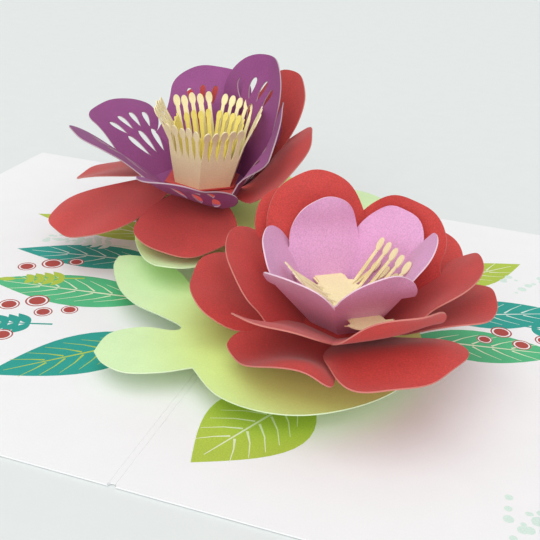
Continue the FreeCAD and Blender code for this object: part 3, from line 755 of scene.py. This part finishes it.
# The outline of a leaf sheet as shares of its reach, edge by edge from the tip of its long lobe
LEAF_REACH = 75.0
LEAF_EDGES = (
    ((-0.97, 0.235), (-0.945, 0.145), (-0.85, 0.01), (-0.745, -0.07), (-0.63, -0.107),
     (-0.548, -0.137), (-0.526, -0.163), (-0.553, -0.186), (-0.65, -0.203), (-0.735, -0.28)),
    ((-0.732, -0.395), (-0.675, -0.443), (-0.585, -0.467), (-0.48, -0.43)),
    ((-0.393, -0.37), (-0.27, -0.478), (-0.12, -0.51), (0.028, -0.472), (0.168, -0.357),
     (0.26, -0.2), (0.285, 0.0), (0.24, 0.17)),
    ((0.16, 0.32), (0.07, 0.51), (-0.03, 0.645)),
    ((-0.1, 0.69), (-0.22, 0.66), (-0.32, 0.52), (-0.36, 0.33), (-0.42, 0.17)),
    ((-0.52, 0.1), (-0.6, 0.127), (-0.69, 0.21), (-0.8, 0.272), (-0.92, 0.265)),
)

# Steps between two points of the outline, and the wave of the lobes beyond their stiff middle
LEAF_STEPS = 7
LEAF_STIFF, LEAF_WAVE, LEAF_WAVES, LEAF_PHASE = 24.0, 1.6, 2.2, 30


def smooth_run(points):
    """Points along a smooth curve through a few points, without its last point."""
    run = []
    for i in range(len(points) - 1):
        before = points[max(i - 1, 0)]
        a, b = points[i], points[i + 1]
        after = points[min(i + 2, len(points) - 1)]
        for step in range(LEAF_STEPS):
            t = step / LEAF_STEPS
            run.append(0.5 * ((2 * a) + (b - before) * t
                              + (2 * before - 5 * a + 4 * b - after) * t ** 2
                              + (3 * a - before - 3 * b + after) * t ** 3))
    return run


def leaf_sheet(flower, name, node, turn, papers):
    """A leaf sheet with softly bent lobes, turned about its flower's axis."""
    outline = []
    for k, edge in enumerate(LEAF_EDGES):
        shares = edge + (LEAF_EDGES[(k + 1) % len(LEAF_EDGES)][0],)
        outline += smooth_run([Vector(share) * LEAF_REACH for share in shares])
    spots, triangles = filled(outline, grid=LEAF_GRID)
    spin = Matrix.Rotation(math.radians(turn), 2)
    height = CARD_THICKNESS + flower["riser"]

    def lift(spot):
        far = smooth(LEAF_STIFF, LEAF_REACH, spot.length)
        wave = LEAF_WAVE * far * sin(LEAF_WAVES * spot.y + LEAF_PHASE)
        flat = spin @ spot
        return Vector((flower["place"][0] + flat.x, flower["place"][1] + flat.y, height + wave))

    obj = thicken(mesh_object(name, [lift(spot) for spot in spots], triangles, papers))
    return piece(obj, "leaf_paper", node)


leaf_sheet(FRONT, "front_leaf", "front_leaf_sheet", 0.0,
           [leaf_paper("front_leaf_paper", FRONT["place"]), edge_leaf])
leaf_sheet(REAR, "rear_leaf", "rear_leaf_sheet", 180.0,
           [leaf_paper("rear_leaf_paper", REAR["place"]), edge_leaf])


# The card and its print

# Below 1, this moves the widest part of a printed leaf toward its base
LEAF_FULLNESS = 0.85

# The points of a middle vein along its leaf, where its side veins start and how far they spread
# along it, their reach as a share of the leaf's half width, and the widths of the veins' lines
MIDDLE_VEIN = (0.04, 0.35, 0.65, 0.9)
VEIN_START, VEIN_SPREAD, VEIN_REACH = 0.14, 0.62, 0.74
MIDDLE_LINE, SIDE_LINE, SPRIG_LINE = (0.9, 0.2), (0.6, 0.15), (0.8, 0.4)

# The dots: how much of a berry its ring and its core leave, and the sizes of scattered ones
RING_SHARE, CORE_SHARE = 0.86, 0.7
SMALLEST_DOT, LARGEST_DOT = 0.5, 1.5

# A sprig's leaflets: the way they turn off its stem, and their width as a share of their length
LEAFLET_TURN, LEAFLET_WIDTH = 52, 0.42


def oval_leaf(base, tip, width, steps=14):
    """A printed leaf from its base to its pointed tip, widest before its middle."""
    base, tip = Vector(base), Vector(tip)
    along = tip - base
    aside = Vector((-along.y, along.x)).normalized()
    right, left = [], []
    for i in range(1, steps):
        part = i / steps
        half = width / 2 * sin(180 * part ** LEAF_FULLNESS)
        right.append(base + along * part - aside * half)
        left.append(base + along * part + aside * half)
    return [base] + right + [tip] + left[::-1]


def stroke(points, start, end):
    """A line of ink that narrows from a start width to an end width."""
    right, left = [], []
    for i, point in enumerate(points):
        ahead = points[min(i + 1, len(points) - 1)] - points[max(i - 1, 0)]
        aside = Vector((-ahead.y, ahead.x)).normalized()
        half = (start + (end - start) * i / (len(points) - 1)) / 2
        right.append(point - aside * half)
        left.append(point + aside * half)
    return right + left[::-1]


def veined_leaf(base, tip, width, ink, vein, ribs=5):
    """A printed leaf with a middle vein and curved side veins."""
    base, tip = Vector(base), Vector(tip)
    along = tip - base
    aside = Vector((-along.y, along.x)).normalized()
    shapes = [(ink, oval_leaf(base, tip, width)),
              (vein, stroke([base + along * t for t in MIDDLE_VEIN], *MIDDLE_LINE))]
    for i in range(ribs):
        part = VEIN_START + VEIN_SPREAD * i / ribs
        for sign in (1, -1):
            reach = width / 2 * sin(180 * (part + 0.1) ** LEAF_FULLNESS) * VEIN_REACH
            start = base + along * (part + 0.02) + aside * sign * 0.7
            bend = base + along * (part + 0.09) + aside * sign * reach * 0.55
            end = base + along * (part + 0.19) + aside * sign * reach
            shapes.append((vein, stroke([start, start.lerp(bend, 0.5), bend, end], *SIDE_LINE)))
    return shapes


def disc(centre, radius, sides=22):
    """A round dot."""
    return [Vector(centre) + heading_vector(360 * i / sides).xy * radius for i in range(sides)]


def berry(centre, radius):
    """A round dot with a ring around it."""
    return [(ink_berry, disc(centre, radius)), (paper_card, disc(centre, radius * RING_SHARE)),
            (ink_berry, disc(centre, radius * CORE_SHARE))]


def sprig(base, heading, length, ink, pairs, leaflet):
    """A thin stem with pairs of small oval leaflets and one at its end."""
    base, along = Vector(base), heading_vector(heading).xy
    stem = [base, base + along * length * 0.5, base + along * length]
    shapes = [(ink, stroke(stem, *SPRIG_LINE))]
    for i in range(pairs):
        foot = base + along * length * (0.3 + 0.6 * i / pairs)
        for turn in (LEAFLET_TURN, -LEAFLET_TURN):
            end = foot + heading_vector(heading + turn).xy * leaflet * (1 - 0.12 * i)
            shapes.append((ink, oval_leaf(foot, end, leaflet * LEAFLET_WIDTH, 8)))
    end = base + along * length
    shapes.append((ink, oval_leaf(end, end + along * leaflet, leaflet * LEAFLET_WIDTH, 8)))
    return shapes


def scattered(centre, spread, count, ink, seed):
    """Small dots of ink spread around a place."""
    chance = random.Random(seed)
    shapes = []
    for _ in range(count):
        far, angle = spread * chance.random() ** 0.7, chance.uniform(0, 360)
        spot = Vector(centre) + heading_vector(angle).xy * far
        shapes.append((ink, disc(spot, chance.uniform(SMALLEST_DOT, LARGEST_DOT), 12)))
    return shapes


def card_print():
    """The print, from the back to the front: plain leaves, sprigs, dots and berries."""
    shapes = veined_leaf((-38, 30), (-92, 30), 16, ink_lime, ink_cream)
    shapes += scattered((-68, 16), 11, 34, ink_mint, 4)
    shapes += veined_leaf((-34, 12), (-82, 2), 17, ink_teal, ink_mint)
    shapes += veined_leaf((-26, -12), (-78, -20), 19, ink_green, ink_cream, 6)
    shapes += veined_leaf((-16, -30), (-48, -64), 19, ink_teal, ink_lime, 6)
    shapes += sprig((-46, -36), 200, 20, ink_teal, 4, 7.0)
    shapes += sprig((-52, -8), 205, 20, ink_lime, 4, 6.0)
    shapes += sprig((-50, 18), 190, 22, ink_mint, 4, 5.0)
    for centre, radius in (((-57, -26), 3.4), ((-52, -31), 2.6), ((-63, -31), 3.0),
                           ((-46, -27), 2.4), ((-66, -3), 3.4), ((-72, -8), 2.8),
                           ((-60, 1), 2.4), ((-55, -46), 2.8)):
        shapes += berry(centre, radius)
    shapes += veined_leaf((28, -40), (12, -76), 25, ink_lime, ink_cream, 6)
    shapes += veined_leaf((44, 30), (72, 60), 16, ink_lime, ink_cream)
    shapes += veined_leaf((50, 12), (88, 30), 17, ink_teal, ink_mint)
    shapes += veined_leaf((46, -4), (88, 4), 17, ink_green, ink_cream)
    shapes += sprig((72, 16), 5, 20, ink_teal, 4, 7.0)
    shapes += scattered((76, 42), 11, 26, ink_mint, 9)
    shapes += scattered((84, -66), 9, 20, ink_mint, 12)
    for centre, radius in (((70, 10), 3.0), ((76, 5), 2.6), ((66, 4), 2.2), ((82, 10), 2.8)):
        shapes += berry(centre, radius)
    return shapes


def make_card():
    """The card: its printed top with the two scores, its edge and its back."""
    half_length, half_depth = CARD_LENGTH / 2, CARD_DEPTH / 2
    notch = [heading_vector(angle).xy * NOTCH_RADIUS for angle in range(0, 181, 30)]
    far_notch = [Vector((p.x, half_depth - p.y)) for p in notch]
    near_notch = [Vector((-p.x, p.y - half_depth)) for p in notch]
    outline = ([Vector((-half_length, -half_depth))] + near_notch
               + [Vector((half_length, -half_depth)), Vector((half_length, half_depth))]
               + far_notch + [Vector((-half_length, half_depth))])
    shapes = [(paper_card, outline)] + card_print()
    grooves = []
    for middle in (-SCORE_SPACING / 2, SCORE_SPACING / 2):
        left, right = middle - SCORE_WIDTH / 2, middle + SCORE_WIDTH / 2
        grooves.append([Vector((left, -half_depth)), Vector((right, -half_depth)),
                        Vector((right, half_depth)), Vector((left, half_depth))])
    points, faces = [], []
    for ring in [shape for _, shape in shapes] + grooves:
        faces.append(list(range(len(points), len(points) + len(ring))))
        points += ring
    spots, _, triangles, _, _, sources = delaunay_2d_cdt(points, [], faces, 0, CARD_TOLERANCE)
    papers = [paper_card, ink_teal, ink_green, ink_lime, ink_mint, ink_berry, ink_cream]
    solid = [Vector((*spot, CARD_THICKNESS)) for spot in spots]
    score = [Vector((*spot, CARD_THICKNESS - SCORE_DEPTH)) for spot in spots]
    kept, slots, walls = [], [], []
    for triangle, source in zip(triangles, sources):
        if 0 not in source:
            continue
        sunk = max(source) >= len(shapes)
        lift = len(solid) if sunk else 0
        kept.append([i + lift for i in triangle])
        slots.append(0 if sunk else papers.index(shapes[max(source)][0]))
        if sunk:
            for a, b in zip(triangle, triangle[1:] + triangle[:1]):
                walls.append((a, b))
    for a, b in walls:
        if (b, a) not in walls:
            kept.append([b, a, a + len(solid), b + len(solid)])
            slots.append(0)
    all_points = solid + score
    first = len(all_points)
    all_points += [Vector((*p, z)) for z in (CARD_THICKNESS, 0) for p in outline]
    count = len(outline)
    for i in range(count):
        j = (i + 1) % count
        kept.append([first + count + i, first + count + j, first + j, first + i])
        slots.append(0)
    kept.append([first + count + i for i in range(count)][::-1])
    slots.append(0)
    obj = mesh_object("printed_card", all_points, kept, papers, slots, weld=0.002)
    return piece(obj, "white_card", "card_sheet")


make_card()


# The rest of the frame's pieces in their papers
NODE_PAPERS = {
    "front_leaf_riser": paper_card, "rear_leaf_riser": paper_card,
    "front_flower_strut": paper_teal, "rear_flower_strut": paper_teal,
    "rear_centre_platform": paper_red,
}
for node, material in NODE_PAPERS.items():
    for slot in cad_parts[node].material_slots:
        slot.material = material


# The floor, the light and the camera

# The floor in metres: how far it reaches and how far it lies under the card
FLOOR_REACH, FLOOR_DROP = 4.0, 0.0002
FLOOR_COLOUR = (0.775, 0.82, 0.815)
STUDIO_COLOUR, STUDIO_STRENGTH = (1.0, 0.995, 0.99, 1.0), 0.56


def add_floor():
    """A plain pale floor."""
    mesh = bpy.data.meshes.new("floor")
    corners = [(x * FLOOR_REACH, y * FLOOR_REACH, 0)
               for x, y in ((-1, -1), (1, -1), (1, 1), (-1, 1))]
    mesh.from_pydata(corners, [], [(0, 1, 2, 3)])
    floor = bpy.data.objects.new("floor", mesh)
    bpy.context.collection.objects.link(floor)
    mesh.materials.append(paper("floor_paint", FLOOR_COLOUR, fleck=0.01, mottle=0.015))
    floor.location.z = -FLOOR_DROP


def add_sun(name, strength, width, direction, colour):
    """A broad soft light from one direction."""
    light = bpy.data.lights.new(name, "SUN")
    light.energy, light.angle, light.color = strength, math.radians(width), colour
    lamp = bpy.data.objects.new(name, light)
    lamp.rotation_mode = "QUATERNION"
    lamp.rotation_quaternion = Vector(direction).to_track_quat("-Z", "Y")
    bpy.context.collection.objects.link(lamp)


add_floor()
world = bpy.data.worlds.new("studio")
world.use_nodes = True
world.node_tree.nodes["Background"].inputs["Color"].default_value = STUDIO_COLOUR
world.node_tree.nodes["Background"].inputs["Strength"].default_value = STUDIO_STRENGTH
bpy.context.scene.world = world
add_sun("window", strength=0.92, width=60, direction=(0.1, 0.2, -1.0), colour=(1.0, 0.99, 0.97))
add_sun("fill", strength=1.4, width=70, direction=(-0.15, 0.9, -0.45), colour=(1.0, 0.99, 0.98))
bpy.context.scene.view_settings.view_transform = "Standard"

# The camera, as worked out from the card's edges in the photo. Its place and the distance at which
# it starts to see are in metres, its sensor and lens in millimetres.
CAMERA_PLACE = Vector((0.06944, -0.21244, 0.11808))
CAMERA_HEADING, CAMERA_PITCH, CAMERA_ROLL = 17.154, -25.722, 3.26
SENSOR_WIDTH, LENS, NEAREST = 36.0, 57.247, 0.01
camera_data = bpy.data.cameras.new("camera")
camera_data.sensor_width, camera_data.lens = SENSOR_WIDTH, LENS
camera_data.clip_start = NEAREST
camera = bpy.data.objects.new("camera", camera_data)
camera.rotation_mode = "QUATERNION"
turn = (Matrix.Rotation(math.radians(CAMERA_HEADING), 3, "Z")
        @ Matrix.Rotation(math.radians(90 + CAMERA_PITCH), 3, "X")
        @ Matrix.Rotation(math.radians(CAMERA_ROLL), 3, "Z"))
camera.rotation_quaternion = turn.to_quaternion()
camera.location = CAMERA_PLACE
bpy.context.collection.objects.link(camera)
bpy.context.scene.camera = camera
